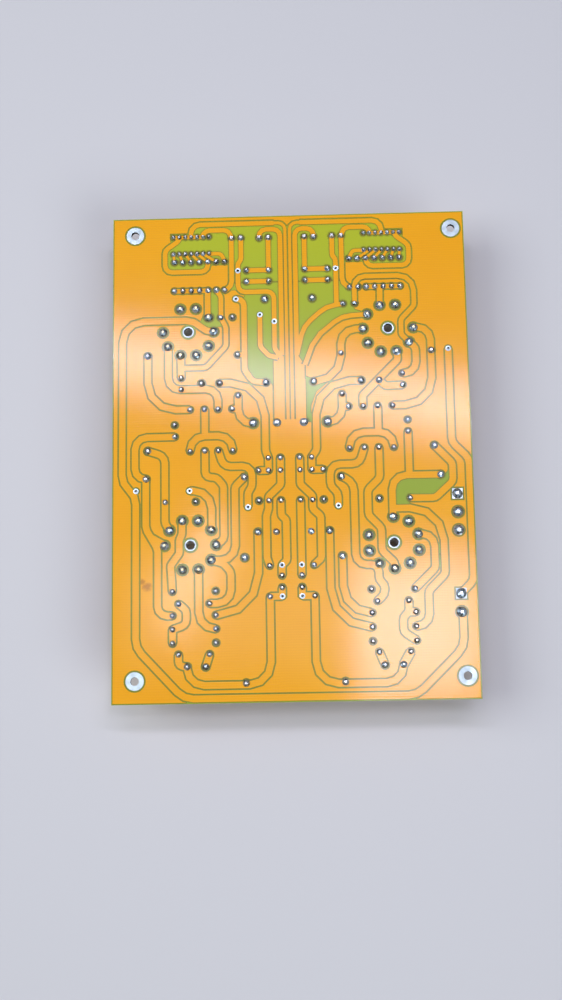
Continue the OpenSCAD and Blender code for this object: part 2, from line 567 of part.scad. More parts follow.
// A solder joint: a dome that has drawn up round its lead
module joint(p, pad_r, lead_r, h = solder_h) {
    inner = lead_r + solder_clear;
    neck = max(inner + 0.12, pad_r * 0.4);
    translate(at(p)) translate([0, 0, solder_z]) rotate_extrude() polygon([
        [inner, 0], [pad_r, 0], [pad_r * 0.96, h * 0.2], [pad_r * 0.84, h * 0.48],
        [(pad_r * 0.84 + neck) / 2, h * 0.78], [neck, h], [inner, h]]);
}
module joints(places, pad_r, lead_r) {
    color([0.66, 0.72, 0.76]) for (p = places) joint(p, pad_r - 0.05, lead_r);
}
module socket_solder() { joints(socket_pads, large_pad_r, contact_pin_r); }
module switch_solder() { joints(switch_pads, switch_pad_r, switch_pin / sqrt(2)); }
module connector_solder() {
    joints(signal_pads, small_pad_r, header_pin / sqrt(2));
    joints(power_pads, large_pad_r + 0.4, header_pin / sqrt(2));
}
module capacitor_solder() {
    joints(axial_pads, medium_pad_r, thick_wire_r);
    joints(pairs(film_at, film_span), medium_pad_r, wire_r);
    joints(pairs(box_at, box_span), small_pad_r, wire_r);
    joints(reservoir_pads, large_pad_r, norm([reservoir_pin_w, reservoir_pin_t]) / 2);
}
module resistor_solder() { joints(resistor_pads, small_pad_r, wire_r); }

// Places a valve socket's child at one of its pin positions, X pointing outwards
module at_pins(s) {
    for (k = [0:9]) if (k != s[3]) rotate(-(36 * k + s[2])) children();
}
contact_wall = 0.25;
contact_arm_w = 1.3;
contact_arm_depth = 0.6;
socket_flange_h = 4;
socket_step = 1.2;
socket_floor = 1.3;
eyelet_room = 0.2;
module tube_socket(s) {
    channel_h = contact_arm_depth + contact_t + 0.6;
    channel_w = contact_arm_w + 0.4;
    bore_r = contact_hole_r + contact_wall + 0.1;
    color([0.93, 0.92, 0.88]) translate(at(s)) translate([0, 0, seat_z]) difference() {
        rotate_extrude() polygon([
            [socket_centre_r, -eyelet_room], [socket_ring_r + eyelet_room, -eyelet_room],
            [socket_ring_r + eyelet_room, 0], [socket_r, 0], [socket_r, -socket_flange_h],
            [socket_r - socket_step, -socket_flange_h - 0.8],
            [socket_r - socket_step, -socket_h + 0.8], [socket_r - socket_step - 0.8, -socket_h],
            [socket_centre_r + 1.2, -socket_h], [socket_centre_r, -socket_h + 1.2]]);
        at_pins(s) {
            translate([contact_circle_r, 0, -socket_h + socket_floor])
                cylinder(r = bore_r, h = socket_h);
            translate([contact_circle_r, 0, -socket_h - 1]) cylinder(r = contact_hole_r + 0.15,
                h = socket_h);
            translate([contact_circle_r, -channel_w / 2, -channel_h])
                cube([socket_r, channel_w, channel_h + 1]);
        }
    }
}
module socket_contacts(s) {
    top = -contact_arm_depth;
    arm_from = contact_circle_r + contact_hole_r + contact_wall / 2;
    color([0.86, 0.8, 0.6]) translate(at(s)) translate([0, 0, seat_z]) at_pins(s) {
        translate([contact_circle_r, 0, -socket_h + socket_floor]) difference() {
            cylinder(r = contact_hole_r + contact_wall, h = socket_h - socket_floor + top);
            translate([0, 0, -1]) cylinder(r = contact_hole_r, h = socket_h + 2);
        }
        translate([arm_from, -contact_arm_w / 2, top - contact_t])
            cube([socket_pin_circle_r - arm_from + contact_pin_r, contact_arm_w, contact_t]);
        translate([socket_pin_circle_r, 0, top - contact_t / 2])
            cylinder(r = contact_pin_r, h = lead_top - seat_z - top + contact_t / 2);
    }
}
module tube_socket_1() { tube_socket(sockets[0]); }
module tube_socket_2() { tube_socket(sockets[1]); }
module tube_socket_3() { tube_socket(sockets[2]); }
module tube_socket_4() { tube_socket(sockets[3]); }
module socket_contacts_1() { socket_contacts(sockets[0]); }
module socket_contacts_2() { socket_contacts(sockets[1]); }
module socket_contacts_3() { socket_contacts(sockets[2]); }
module socket_contacts_4() { socket_contacts(sockets[3]); }

// A switch: the housing's slots open downwards, and each slider's foot runs in a chamber
// behind its slot
foot_w = knob_w + 0.6;
foot_l = knob_l + 1;
foot_h = 1.1;
slot_depth = 1;
knob_out = 0.5;
switch_end = 2.1;
pocket_depth = 1.5;
function switch_centre(side) = at(switches[side] + [(switch_ways - 1) * switch_pitch,
    switch_row] / 2);
module box(size, at_z) {
    translate([-size.x / 2, -size.y / 2, at_z]) cube(size);
}
module at_ways() {
    for (i = [0:switch_ways - 1]) translate([(i - (switch_ways - 1) / 2) * switch_pitch, 0, 0])
        children();
}
module switch_housing(side) {
    c = 2 * slider_clear;
    floor_z = seat_z - switch_h;
    length = (switch_ways - 1) * switch_pitch + 2 * switch_end;
    color([0.72, 0.12, 0.1]) translate(switch_centre(side)) difference() {
        box([length, switch_w, switch_h], floor_z);
        at_ways() {
            box([knob_w + c, knob_l + slider_travel + c, slot_depth + 1], floor_z - 1 + eps);
            box([foot_w + c, foot_l + slider_travel + c, foot_h + c], floor_z + slot_depth);
            for (j = [-1, 1]) translate([0, j * switch_row / 2, 0])
                box([switch_pin, switch_pin, pocket_depth + 1] + [1, 1, 0] * slider_clear,
                    seat_z - pocket_depth);
        }
    }
}
module slider(side, i) {
    floor_z = seat_z - switch_h;
    color([0.95, 0.95, 0.92]) translate(switch_centre(side)) translate([
        (i - 1 - (switch_ways - 1) / 2) * switch_pitch, -slider_travel / 2, 0]) {
        box([knob_w, knob_l, knob_out + slot_depth + slider_clear + eps], floor_z - knob_out);
        box([foot_w, foot_l, foot_h], floor_z + slot_depth + slider_clear);
    }
}
module switch_pins(side) {
    color([0.8, 0.8, 0.78]) translate(switch_centre(side)) at_ways() for (j = [-1, 1])
        translate([0, j * switch_row / 2, 0]) box([switch_pin, switch_pin,
            lead_top - seat_z + pocket_depth], seat_z - pocket_depth);
}
module switch_housing_left() { switch_housing(0); }
module switch_housing_right() { switch_housing(1); }
module switch_pins_left() { switch_pins(0); }
module switch_pins_right() { switch_pins(1); }

// A reservoir capacitor stands on the board by its open end, which a disc with two pins closes
base_r = reservoir_d / 2 - 1.4;
base_t = 1;
can_round = 1.2;
bead_z = 3.2;
bead_depth = 0.7;
vent_depth = 0.25;
vent_w = 0.7;
module reservoir_capacitor(side) {
    r = reservoir_d / 2;
    color([0.12, 0.14, 0.2]) translate(at(reservoir_at[side])) difference() {
        translate([0, 0, seat_z]) rotate_extrude() polygon(concat(
            [[0, -base_t], [base_r + 0.1, -base_t], [base_r + 0.1, 0], [r - 0.5, 0], [r, -0.5],
             [r, -bead_z + bead_depth], [r - bead_depth, -bead_z], [r, -bead_z - bead_depth]],
            [for (a = [0:22.5:90]) [r - can_round + can_round * cos(a),
                -reservoir_h + can_round - can_round * sin(a)]],
            [[0, -reservoir_h]]));
        for (a = [0, 90]) rotate(a) box([base_r, vent_w, 2 * vent_depth],
            seat_z - reservoir_h - vent_depth);
    }
}
module reservoir_bases() {
    color([0.2, 0.17, 0.15]) for (p = reservoir_at) translate(at(p)) difference() {
        translate([0, 0, seat_z - base_t]) cylinder(r = base_r, h = base_t);
        for (i = [-1, 1]) translate([i * reservoir_pitch / 2, 0, 0])
            box([reservoir_pin_w + 0.1, reservoir_pin_t + 0.1, base_t + 2], seat_z - base_t - 1);
    }
}
module reservoir_pins() {
    color([0.82, 0.83, 0.84]) for (p = reservoir_pads) translate(at(p))
        box([reservoir_pin_w, reservoir_pin_t, lead_top - seat_z + base_t], seat_z - base_t);
}
module reservoir_capacitor_left() { reservoir_capacitor(0); }
module reservoir_capacitor_right() { reservoir_capacitor(1); }

// Puts a two-lead part's middle at the origin, its leads along X, its level at z
module laid(p, span, z) {
    centre = (pair(p, span)[0] + pair(p, span)[1]) / 2;
    translate(at(centre)) translate([0, 0, z]) rotate(p.z == 1 ? 90 : 0) children();
}
// A wire that leaves the part at half_l from its middle and bends up through its hole
module wire(half_l, half_span, rise, r) {
    translate([half_l, 0, 0]) rotate([0, 90, 0]) cylinder(r = r, h = half_span - bend_r - half_l);
    translate([half_span - bend_r, 0, bend_r]) rotate([90, 0, 0]) rotate([0, 0, -90])
        rotate_extrude(angle = 90) translate([bend_r, 0]) circle(r = r);
    translate([half_span, 0, bend_r]) cylinder(r = r, h = rise - bend_r);
}
module wires(list, span, half_l, z, r) {
    for (p = list) laid(p, span, z) for (a = [0, 180]) rotate(a)
        wire(half_l, span / 2, lead_top - z, r);
}

// A tubular film capacitor: a wrapped tube whose ends are filled flush inside a low rim
end_sink = 0.6;
module tube_body(l, d) {
    r = d / 2;
    e = l / 2;
    rim = 0.09 * d;
    half = [[0, e - end_sink], [r - rim, e - end_sink], [r - rim * 0.6, e], [r - rim * 0.25, e],
        [r, e - rim * 0.6]];
    rotate([0, 90, 0]) rotate_extrude() polygon(concat(half,
        [for (i = [len(half) - 1:-1:0]) [half[i].x, -half[i].y]]));
}
module output_capacitor(i) {
    color([0.85, 0.68, 0.2]) laid(output_at[i], output_span, seat_z - output_d / 2)
        tube_body(output_l, output_d);
}
module coupling_capacitor(i) {
    color([0.85, 0.68, 0.2]) laid(coupling_at[i], coupling_span, seat_z - coupling_d / 2)
        tube_body(coupling_l, coupling_d);
}
module filter_capacitor(i) {
    color([0.85, 0.68, 0.2]) laid(filter_at[i], filter_span, seat_z - filter_d / 2)
        tube_body(filter_l, filter_d);
}
module output_capacitor_left() { output_capacitor(0); }
module output_capacitor_right() { output_capacitor(1); }
module coupling_capacitor_1() { coupling_capacitor(0); }
module coupling_capacitor_2() { coupling_capacitor(1); }
module coupling_capacitor_3() { coupling_capacitor(2); }
module coupling_capacitor_4() { coupling_capacitor(3); }
module filter_capacitor_left() { filter_capacitor(0); }
module filter_capacitor_right() { filter_capacitor(1); }
module axial_capacitor_leads() {
    color([0.8, 0.8, 0.8]) {
        wires(output_at, output_span, output_l / 2 - end_sink, seat_z - output_d / 2,
            thick_wire_r);
        wires(coupling_at, coupling_span, coupling_l / 2 - end_sink, seat_z - coupling_d / 2,
            thick_wire_r);
        wires(filter_at, filter_span, filter_l / 2 - end_sink, seat_z - filter_d / 2,
            thick_wire_r);
    }
}

// Box capacitors: a block with bevelled upright edges on two short wires
bevel = 0.4;
module block(l, w, h) {
    x = l / 2;
    y = w / 2;
    translate([0, 0, -h]) linear_extrude(h) polygon([[x, y - bevel], [x - bevel, y],
        [bevel - x, y], [-x, y - bevel], [-x, bevel - y], [bevel - x, -y], [x - bevel, -y],
        [x, bevel - y]]);
}
film_w = 5;
box_w = 4.5;
box_over = 2.2;
module film_capacitors() {
    color([0.75, 0.15, 0.12]) for (p = film_at) laid(p, film_span, seat_z)
        block(film_span + box_over + 0.6, film_w, film_h);
}
module box_capacitors() {
    color([0.2, 0.3, 0.6]) for (p = box_at) laid(p, box_span, seat_z)
        block(box_span + box_over, box_w, small_box_h);
}
module box_capacitor_leads() {
    color([0.8, 0.8, 0.8]) for (p = box_pads) translate(at(p)) translate([0, 0, seat_z])
        cylinder(r = wire_r, h = lead_top - seat_z);
}

// A resistor: a coated rod with a fuller cap at each end
module resistor_body(l, d) {
    r = d / 2;
    e = l / 2;
    cap = 0.16 * l;
    waist = 0.86;
    half = [[0, e], [r * 0.7, e], [r, e - r * 0.3], [r, e - cap], [r * waist, e - cap * 1.4]];
    rotate([0, 90, 0]) rotate_extrude() polygon(concat(half,
        [for (i = [len(half) - 1:-1:0]) [half[i].x, -half[i].y]]));
}
module half_watt_resistors() {
    color([0.35, 0.55, 0.7]) for (p = short_at)
        laid(p, short_span, seat_z - standoff - short_resistor_d / 2)
            resistor_body(short_resistor_l, short_resistor_d);
}
module two_watt_resistors() {
    color([0.45, 0.45, 0.42]) for (p = long_at)
        laid(p, long_span, seat_z - standoff - long_resistor_d / 2)
            resistor_body(long_resistor_l, long_resistor_d);
}
module resistor_leads() {
    color([0.8, 0.8, 0.8]) {
        wires(short_at, short_span, short_resistor_l / 2,
            seat_z - standoff - short_resistor_d / 2, wire_r);
        wires(long_at, long_span, long_resistor_l / 2,
            seat_z - standoff - long_resistor_d / 2, wire_r);
    }
}

// Pin headers: a base on the board with a springy wall that holds the plug
header_w = 5.8;
header_end = 1.95;
lock_t = 1;
lock_h = 8;
lock_lip = 0.5;
pin_clear = 0.05;
module header(ways, pitch) {
    l = (ways - 1) * pitch + 2 * header_end;
    difference() {
        union() {
            box([l, header_w, header_base_t], -header_base_t);
            translate([0, header_w / 2, 0]) rotate([90, 0, -90]) translate([0, 0, -l / 2])
                linear_extrude(l) polygon([[0, -header_base_t + eps], [0, -lock_h - header_base_t],
                    [lock_t + lock_lip, -lock_h - header_base_t],
                    [lock_t, -lock_h - header_base_t + 2], [lock_t, -header_base_t + eps]]);
        }
        for (i = [0:ways - 1]) translate([(i - (ways - 1) / 2) * pitch, 0, 0])
            box([header_pin + 2 * pin_clear, header_pin + 2 * pin_clear, 2 * header_base_t],
                -1.5 * header_base_t);
    }
}
module signal_headers() {
    color([0.92, 0.91, 0.86]) for (p = signal_at) translate(at(p + [signal_pitch / 2, 0]))
        translate([0, 0, seat_z]) header(2, signal_pitch);
}
module power_headers() {
    color([0.92, 0.91, 0.86]) for (h = [[heater_at, 3], [supply_at, 2]])
        translate(at(h[0] + [0, (h[1] - 1) * power_pitch / 2])) translate([0, 0, seat_z])
            rotate(90) header(h[1], power_pitch);
}
module header_pins() {
    color([0.8, 0.78, 0.7]) for (p = concat(signal_pads, power_pads)) translate(at(p))
        box([header_pin, header_pin, lead_top - seat_z + header_reach], seat_z - header_reach);
}

board();
solder_side_copper();
component_side_copper();
plated_holes();
mounting_rings();
socket_eyelets();
socket_solder();
switch_solder();
connector_solder();
capacitor_solder();
resistor_solder();
tube_socket_1();
tube_socket_2();
tube_socket_3();
tube_socket_4();
socket_contacts_1();
socket_contacts_2();
socket_contacts_3();
socket_contacts_4();
switch_housing_left();
switch_housing_right();
switch_pins_left();
switch_pins_right();
slider(0, 1);  // slider_left_1
slider(0, 2);  // slider_left_2
slider(0, 3);  // slider_left_3
slider(0, 4);  // slider_left_4
slider(0, 5);  // slider_left_5
slider(0, 6);  // slider_left_6
slider(0, 7);  // slider_left_7
slider(1, 1);  // slider_right_1
slider(1, 2);  // slider_right_2
slider(1, 3);  // slider_right_3
slider(1, 4);  // slider_right_4
slider(1, 5);  // slider_right_5
slider(1, 6);  // slider_right_6
slider(1, 7);  // slider_right_7
reservoir_capacitor_left();
reservoir_capacitor_right();
reservoir_bases();
reservoir_pins();
output_capacitor_left();
output_capacitor_right();
coupling_capacitor_1();
coupling_capacitor_2();
coupling_capacitor_3();
coupling_capacitor_4();
filter_capacitor_left();
filter_capacitor_right();
axial_capacitor_leads();
film_capacitors();
box_capacitors();
box_capacitor_leads();
half_watt_resistors();
two_watt_resistors();
resistor_leads();
signal_headers();
power_headers();
header_pins();
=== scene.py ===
import json
import math
import random

import bmesh
import bpy
from mathutils import Euler, Matrix, Vector
from mathutils.bvhtree import BVHTree


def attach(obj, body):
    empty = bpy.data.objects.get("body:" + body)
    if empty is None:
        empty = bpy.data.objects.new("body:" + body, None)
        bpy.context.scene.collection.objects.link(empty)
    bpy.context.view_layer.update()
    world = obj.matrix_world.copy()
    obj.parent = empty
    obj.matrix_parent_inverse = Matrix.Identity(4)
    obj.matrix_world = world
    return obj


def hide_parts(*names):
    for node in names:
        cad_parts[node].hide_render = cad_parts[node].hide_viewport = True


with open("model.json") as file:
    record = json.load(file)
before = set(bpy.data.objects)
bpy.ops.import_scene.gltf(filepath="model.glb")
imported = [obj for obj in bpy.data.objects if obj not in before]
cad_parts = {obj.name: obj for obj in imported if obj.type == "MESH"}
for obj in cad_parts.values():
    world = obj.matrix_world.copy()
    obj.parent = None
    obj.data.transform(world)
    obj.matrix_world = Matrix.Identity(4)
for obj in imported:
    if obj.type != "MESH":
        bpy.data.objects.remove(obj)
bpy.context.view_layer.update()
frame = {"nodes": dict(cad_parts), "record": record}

nodes = frame["nodes"]
slotOf = {entry["node"]: entry["material_slot"] for entry in frame["record"]["subparts"]}
print("frame loaded:", len(nodes), "nodes")


# small helpers for shader trees
def addNode(tree, kind, **values):
    node = tree.nodes.new(kind)
    for key, value in values.items():
        setattr(node, key, value)
    return node


def link(tree, source, target):
    tree.links.new(source, target)


def mathNode(tree, operation, first, second=None, clamp=False):
    node = addNode(tree, "ShaderNodeMath", operation=operation, use_clamp=clamp)
    for index, value in enumerate((first, second)):
        if value is None:
            continue
        if isinstance(value, (int, float)):
            node.inputs[index].default_value = value
        else:
            link(tree, value, node.inputs[index])
    return node.outputs[0]


def mixColour(tree, amount, first, second):
    node = addNode(tree, "ShaderNodeMix", data_type="RGBA")
    for index, value in ((0, amount), (6, first), (7, second)):  # 6 and 7: the colour sockets
        socket = node.inputs[index]
        if isinstance(value, (int, float)):
            socket.default_value = value
        elif isinstance(value, tuple):
            socket.default_value = (*value, 1.0) if len(value) == 3 else value
        else:
            link(tree, value, socket)
    return node.outputs[2]


def rampNode(tree, value, start, end, low=0.0, high=1.0):
    node = addNode(tree, "ShaderNodeMapRange", clamp=True)
    node.inputs["From Min"].default_value = start
    node.inputs["From Max"].default_value = end
    node.inputs["To Min"].default_value = low
    node.inputs["To Max"].default_value = high
    link(tree, value, node.inputs["Value"])
    return node.outputs[0]


def startGroup(name, inputs, outputs):
    group = bpy.data.node_groups.new(name, "ShaderNodeTree")
    for label, kind, default in inputs:
        socket = group.interface.new_socket(name=label, in_out="INPUT", socket_type=kind)
        if default is not None:
            socket.default_value = default
    for label, kind in outputs:
        group.interface.new_socket(name=label, in_out="OUTPUT", socket_type=kind)
    return group, addNode(group, "NodeGroupInput"), addNode(group, "NodeGroupOutput")


def placeGroup(tree, group, **values):
    node = addNode(tree, "ShaderNodeGroup", node_tree=group)
    for key, value in values.items():
        socket = node.inputs[key.replace("_", " ")]
        if isinstance(value, (int, float, tuple)):
            socket.default_value = value
        else:
            link(tree, value, socket)
    return node


# fine mottling: a cloudy value round 0.5, for colour and roughness that is never quite even
def makeMottleGroup():
    group, given, result = startGroup(
        "mottle",
        [("Vector", "NodeSocketVector", None), ("Scale", "NodeSocketFloat", 200.0),
         ("Detail", "NodeSocketFloat", 4.0), ("Contrast", "NodeSocketFloat", 1.0)],
        [("Value", "NodeSocketFloat")])
    noise = addNode(group, "ShaderNodeTexNoise")
    link(group, given.outputs["Vector"], noise.inputs["Vector"])
    link(group, given.outputs["Scale"], noise.inputs["Scale"])
    link(group, given.outputs["Detail"], noise.inputs["Detail"])
    centred = mathNode(group, "SUBTRACT", noise.outputs[0], 0.5)
    scaled = mathNode(group, "MULTIPLY", centred, given.outputs["Contrast"])
    link(group, mathNode(group, "ADD", scaled, 0.5, clamp=True), result.inputs["Value"])
    return group


# glass cloth under the mask: weft ridges along X, weaker warp ridges along Y
weaveLook = {"waverScale": 90.0, "waverDetail": 2.0, "ridge": 0.4}


def addWeave(tree, place, pitch, warp, waver, look):
    split = addNode(tree, "ShaderNodeSeparateXYZ")
    link(tree, place, split.inputs[0])
    noise = addNode(tree, "ShaderNodeTexNoise")
    noise.inputs["Scale"].default_value = look["waverScale"]
    noise.inputs["Detail"].default_value = look["waverDetail"]
    link(tree, place, noise.inputs["Vector"])
    shift = mathNode(tree, "MULTIPLY", mathNode(tree, "SUBTRACT", noise.outputs[0], 0.5), waver)
    turns = []
    for axis in (1, 0):
        cycles = mathNode(tree, "DIVIDE", split.outputs[axis], pitch)
        turn = mathNode(tree, "MULTIPLY", mathNode(tree, "ADD", cycles, shift), 2 * math.pi)
        turns.append(mathNode(tree, "SINE", turn))
    both = mathNode(tree, "ADD", turns[0], mathNode(tree, "MULTIPLY", turns[1], warp))
    return mathNode(tree, "ADD", mathNode(tree, "MULTIPLY", both, look["ridge"]), 0.5)


def makeWeaveGroup(look):
    group, given, result = startGroup(
        "glassWeave",
        [("Vector", "NodeSocketVector", None), ("Pitch", "NodeSocketFloat", 0.001),
         ("Warp", "NodeSocketFloat", 0.3), ("Waver", "NodeSocketFloat", 0.6)],
        [("Height", "NodeSocketFloat")])
    inputs = (given.outputs[label] for label in ("Vector", "Pitch", "Warp", "Waver"))
    link(group, addWeave(group, *inputs, look), result.inputs["Height"])
    return group


# a ragged round spot, such as dried flux or a scorch mark
spotLook = {"noiseScale": 700.0, "noiseDetail": 3.0, "ragged": 2.0, "full": 0.35, "gone": 1.1}


def makeSpotGroup(look):
    group, given, result = startGroup(
        "spot",
        [("Vector", "NodeSocketVector", None), ("Centre", "NodeSocketVector", None),
         ("Radius", "NodeSocketFloat", 0.002), ("Raggedness", "NodeSocketFloat", 0.4)],
        [("Mask", "NodeSocketFloat")])
    away = addNode(group, "ShaderNodeVectorMath", operation="DISTANCE")
    link(group, given.outputs["Vector"], away.inputs[0])
    link(group, given.outputs["Centre"], away.inputs[1])
    noise = addNode(group, "ShaderNodeTexNoise")
    noise.inputs["Scale"].default_value = look["noiseScale"]
    noise.inputs["Detail"].default_value = look["noiseDetail"]
    link(group, given.outputs["Vector"], noise.inputs["Vector"])
    ragged = mathNode(group, "MULTIPLY", mathNode(group, "SUBTRACT", noise.outputs[0], 0.5),
                      given.outputs["Raggedness"])
    near = mathNode(group, "DIVIDE", away.outputs["Value"], given.outputs["Radius"])
    edge = mathNode(group, "ADD", near, mathNode(group, "MULTIPLY", ragged, look["ragged"]))
    link(group, rampNode(group, edge, look["full"], look["gone"], 1.0, 0.0), result.inputs["Mask"])
    return group


mottleGroup = makeMottleGroup()
weaveGroup = makeWeaveGroup(weaveLook)
spotGroup = makeSpotGroup(spotLook)


def newMaterial(name, roughness=0.5, metallic=0.0, coat=0.0, coatRoughness=0.1, specular=0.5):
    material = bpy.data.materials.new(name)
    material.use_nodes = True
    tree = material.node_tree
    shader = tree.nodes["Principled BSDF"]
    shader.inputs["Roughness"].default_value = roughness
    shader.inputs["Metallic"].default_value = metallic
    shader.inputs["Coat Weight"].default_value = coat
    shader.inputs["Coat Roughness"].default_value = coatRoughness
    shader.inputs["Specular IOR Level"].default_value = specular
    place = addNode(tree, "ShaderNodeTexCoord").outputs["Object"]
    return material, tree, shader, place


def addBump(tree, shader, height, distance, target="Normal"):
    bump = addNode(tree, "ShaderNodeBump")
    bump.inputs["Strength"].default_value = 1.0
    bump.inputs["Distance"].default_value = distance
    link(tree, height, bump.inputs["Height"])
    link(tree, bump.outputs[0], shader.inputs[target])


def mottle(tree, place, scale, detail, contrast):
    return placeGroup(tree, mottleGroup, Vector=place, Scale=scale, Detail=detail,
                      Contrast=contrast).outputs[0]


# roughness that follows a mottle: changes gives what is added where it is low and where it is high
def varyRoughness(tree, shader, cloud, look, changes, span=(0.2, 0.8)):
    low, high = (look["roughness"] + change for change in changes)
    link(tree, rampNode(tree, cloud, *span, low, high), shader.inputs["Roughness"])


# 1 on faces that look up or down, 0 on upright walls
def flatMask(tree, span=(0.3, 0.7)):
    split = addNode(tree, "ShaderNodeSeparateXYZ")
    link(tree, addNode(tree, "ShaderNodeNewGeometry").outputs["Normal"], split.inputs[0])
    return rampNode(tree, mathNode(tree, "ABSOLUTE", split.outputs[2]), *span)


# amber solder mask over copper
maskLook = {
    "colour": (0.86, 0.405, 0.006), "deep": (0.82, 0.36, 0.003),
    "cloud": (28.0, 3.0, 1.6),  # scale, detail, contrast
    "specular": 0.12,
    "roughness": 0.42, "roughCloud": (160.0, 5.0, 1.0), "roughSpan": (-0.06, 0.08),
    "coat": 0.7, "coatRoughness": 0.10,
    # shares of the coat in the hollows and on the ridges of the weave, and the heights between
    "coatSpan": (0.45, 1.4), "coatHeights": (0.15, 0.85),
    "weavePitch": 0.00105, "warp": 0.3, "waver": 0.6, "weaveDepth": 0.000030, "coatDepth": 0.000005,
    "raggedness": 0.55,
    # dried flux, then a scorch: centre, radius, colour, strength
    "spots": (((-0.0605, -0.0555, 0.0268), 0.0022, (0.42, 0.15, 0.008), 0.7),
              ((-0.0625, -0.0535, 0.0268), 0.0014, (0.42, 0.15, 0.008), 0.7),
              ((0.0318, -0.0479, 0.0268), 0.0015, (0.80, 0.28, 0.004), 0.8)),
}


def makeMaskMaterial(name, look):
    material, tree, shader, place = newMaterial(name, look["roughness"], 0.0, look["coat"],
                                                look["coatRoughness"], look["specular"])
    colour = mixColour(tree, mottle(tree, place, *look["cloud"]), look["deep"], look["colour"])
    for centre, radius, shade, strength in look["spots"]:
        spot = placeGroup(tree, spotGroup, Vector=place, Centre=centre, Radius=radius,
                          Raggedness=look["raggedness"])
        amount = mathNode(tree, "MULTIPLY", spot.outputs[0], strength)
        colour = mixColour(tree, amount, colour, shade)
    link(tree, colour, shader.inputs["Base Color"])
    weave = placeGroup(tree, weaveGroup, Vector=place, Pitch=look["weavePitch"], Warp=look["warp"],
                       Waver=look["waver"]).outputs[0]
    addBump(tree, shader, weave, look["weaveDepth"])
    # the coat follows the cloth too, by nodes of its own
    ripple = addWeave(tree, place, look["weavePitch"], look["warp"], look["waver"], weaveLook)
    addBump(tree, shader, ripple, look["coatDepth"], target="Coat Normal")
    thin, thick = (share * look["coat"] for share in look["coatSpan"])
    link(tree, rampNode(tree, weave, *look["coatHeights"], thin, thick),
         shader.inputs["Coat Weight"])
    varyRoughness(tree, shader, mottle(tree, place, *look["roughCloud"]), look, look["roughSpan"])
    return material


# glass-fibre laminate: olive with painted shade beside the copper, bright green where it lies open,
# cream where cut
coreLook = {
    # painted shade: the olive colours the laminate takes beside the copper walls
    "gapShade": (0.175, 0.185, 0.016), "gapShadeDeep": (0.135, 0.145, 0.014),
    "open": (0.41, 0.475, 0.010), "openDeep": (0.27, 0.37, 0.016),
    "openFade": (0.02, 0.09),  # Y between which open laminate goes from deep to bright
    "cloud": (60.0, 4.0, 1.5),
    "shadeReach": 0.0011, "shadeSpan": (0.925, 0.985), "shadeSamples": 12,
    "cutEdge": (0.78, 0.66, 0.40), "cutDark": (0.55, 0.42, 0.20),
    "plyPitch": 0.00026, "fibres": (900.0, 3.0, 1.4),
    "roughness": 0.42, "coat": 0.5, "coatRoughness": 0.12, "specular": 0.2,
    "weavePitch": 0.00105, "warp": 0.8, "weaveDepth": 0.000012,
}


def makeCoreMaterial(name, look):
    material, tree, shader, place = newMaterial(name, look["roughness"], 0.0, look["coat"],
                                                look["coatRoughness"], look["specular"])
    split = addNode(tree, "ShaderNodeSeparateXYZ")
    link(tree, place, split.inputs[0])
    # painted shade: ambient occlusion turns the laminate olive within reach of the copper walls,
    # for the shade those walls cast
    shade = addNode(tree, "ShaderNodeAmbientOcclusion", samples=look["shadeSamples"])
    shade.inputs["Distance"].default_value = look["shadeReach"]
    unshaded = rampNode(tree, shade.outputs["AO"], *look["shadeSpan"])
    shadedGap = mixColour(tree, mottle(tree, place, *look["cloud"]), look["gapShadeDeep"], look["gapShade"])
    bare = mixColour(tree, rampNode(tree, split.outputs[1], *look["openFade"]),
                     look["openDeep"], look["open"])
    face = mixColour(tree, unshaded, shadedGap, bare)
    cycles = mathNode(tree, "MULTIPLY", split.outputs[2], 2 * math.pi / look["plyPitch"])
    plies = rampNode(tree, mathNode(tree, "SINE", cycles), -1.0, 1.0)
    layers = mathNode(tree, "MULTIPLY", plies, mottle(tree, place, *look["fibres"]))
    cutFace = mixColour(tree, layers, look["cutEdge"], look["cutDark"])
    link(tree, mixColour(tree, flatMask(tree), cutFace, face), shader.inputs["Base Color"])
    weave = placeGroup(tree, weaveGroup, Vector=place, Pitch=look["weavePitch"], Warp=look["warp"])
    addBump(tree, shader, weave.outputs[0], look["weaveDepth"])
    return material


# metals: solder, tinned plating, lead wire, contacts
metalLooks = {
    # painted reflection: the solder's blue tint and the near-black specks of its mottle stand in
    # for reflections of dark blue surroundings
    "solder": {"colour": (0.56, 0.74, 0.88), "dark": (0.025, 0.04, 0.05), "roughness": 0.26,
               "metallic": 0.6, "contrast": 4.6, "cloud": 1300.0, "ripple": 0.00016},
    "tinned_plating": {"colour": (0.56, 0.68, 0.70), "dark": (0.42, 0.53, 0.57), "roughness": 0.42,
                       # painted shade: the near-black colour of the upright hole walls, for the
                       # shade inside the holes
                       "wall": (0.05, 0.055, 0.06), "cloud": 500.0, "ripple": 0.00002},
    "lead_wire": {"colour": (0.72, 0.74, 0.76), "dark": (0.52, 0.54, 0.56), "roughness": 0.28,
                  "cloud": 700.0, "ripple": 0.00001},
    "contact_metal": {"colour": (0.80, 0.70, 0.42), "dark": (0.62, 0.52, 0.28), "roughness": 0.3,
                      "cloud": 500.0, "ripple": 0.00001},
}
metalCommon = {"metallic": 1.0, "contrast": 2.0, "detail": 3.0, "roughSpan": (0.1, -0.06),
               "waveShare": 0.7, "waveDetail": 1.0, "waveContrast": 1.0}


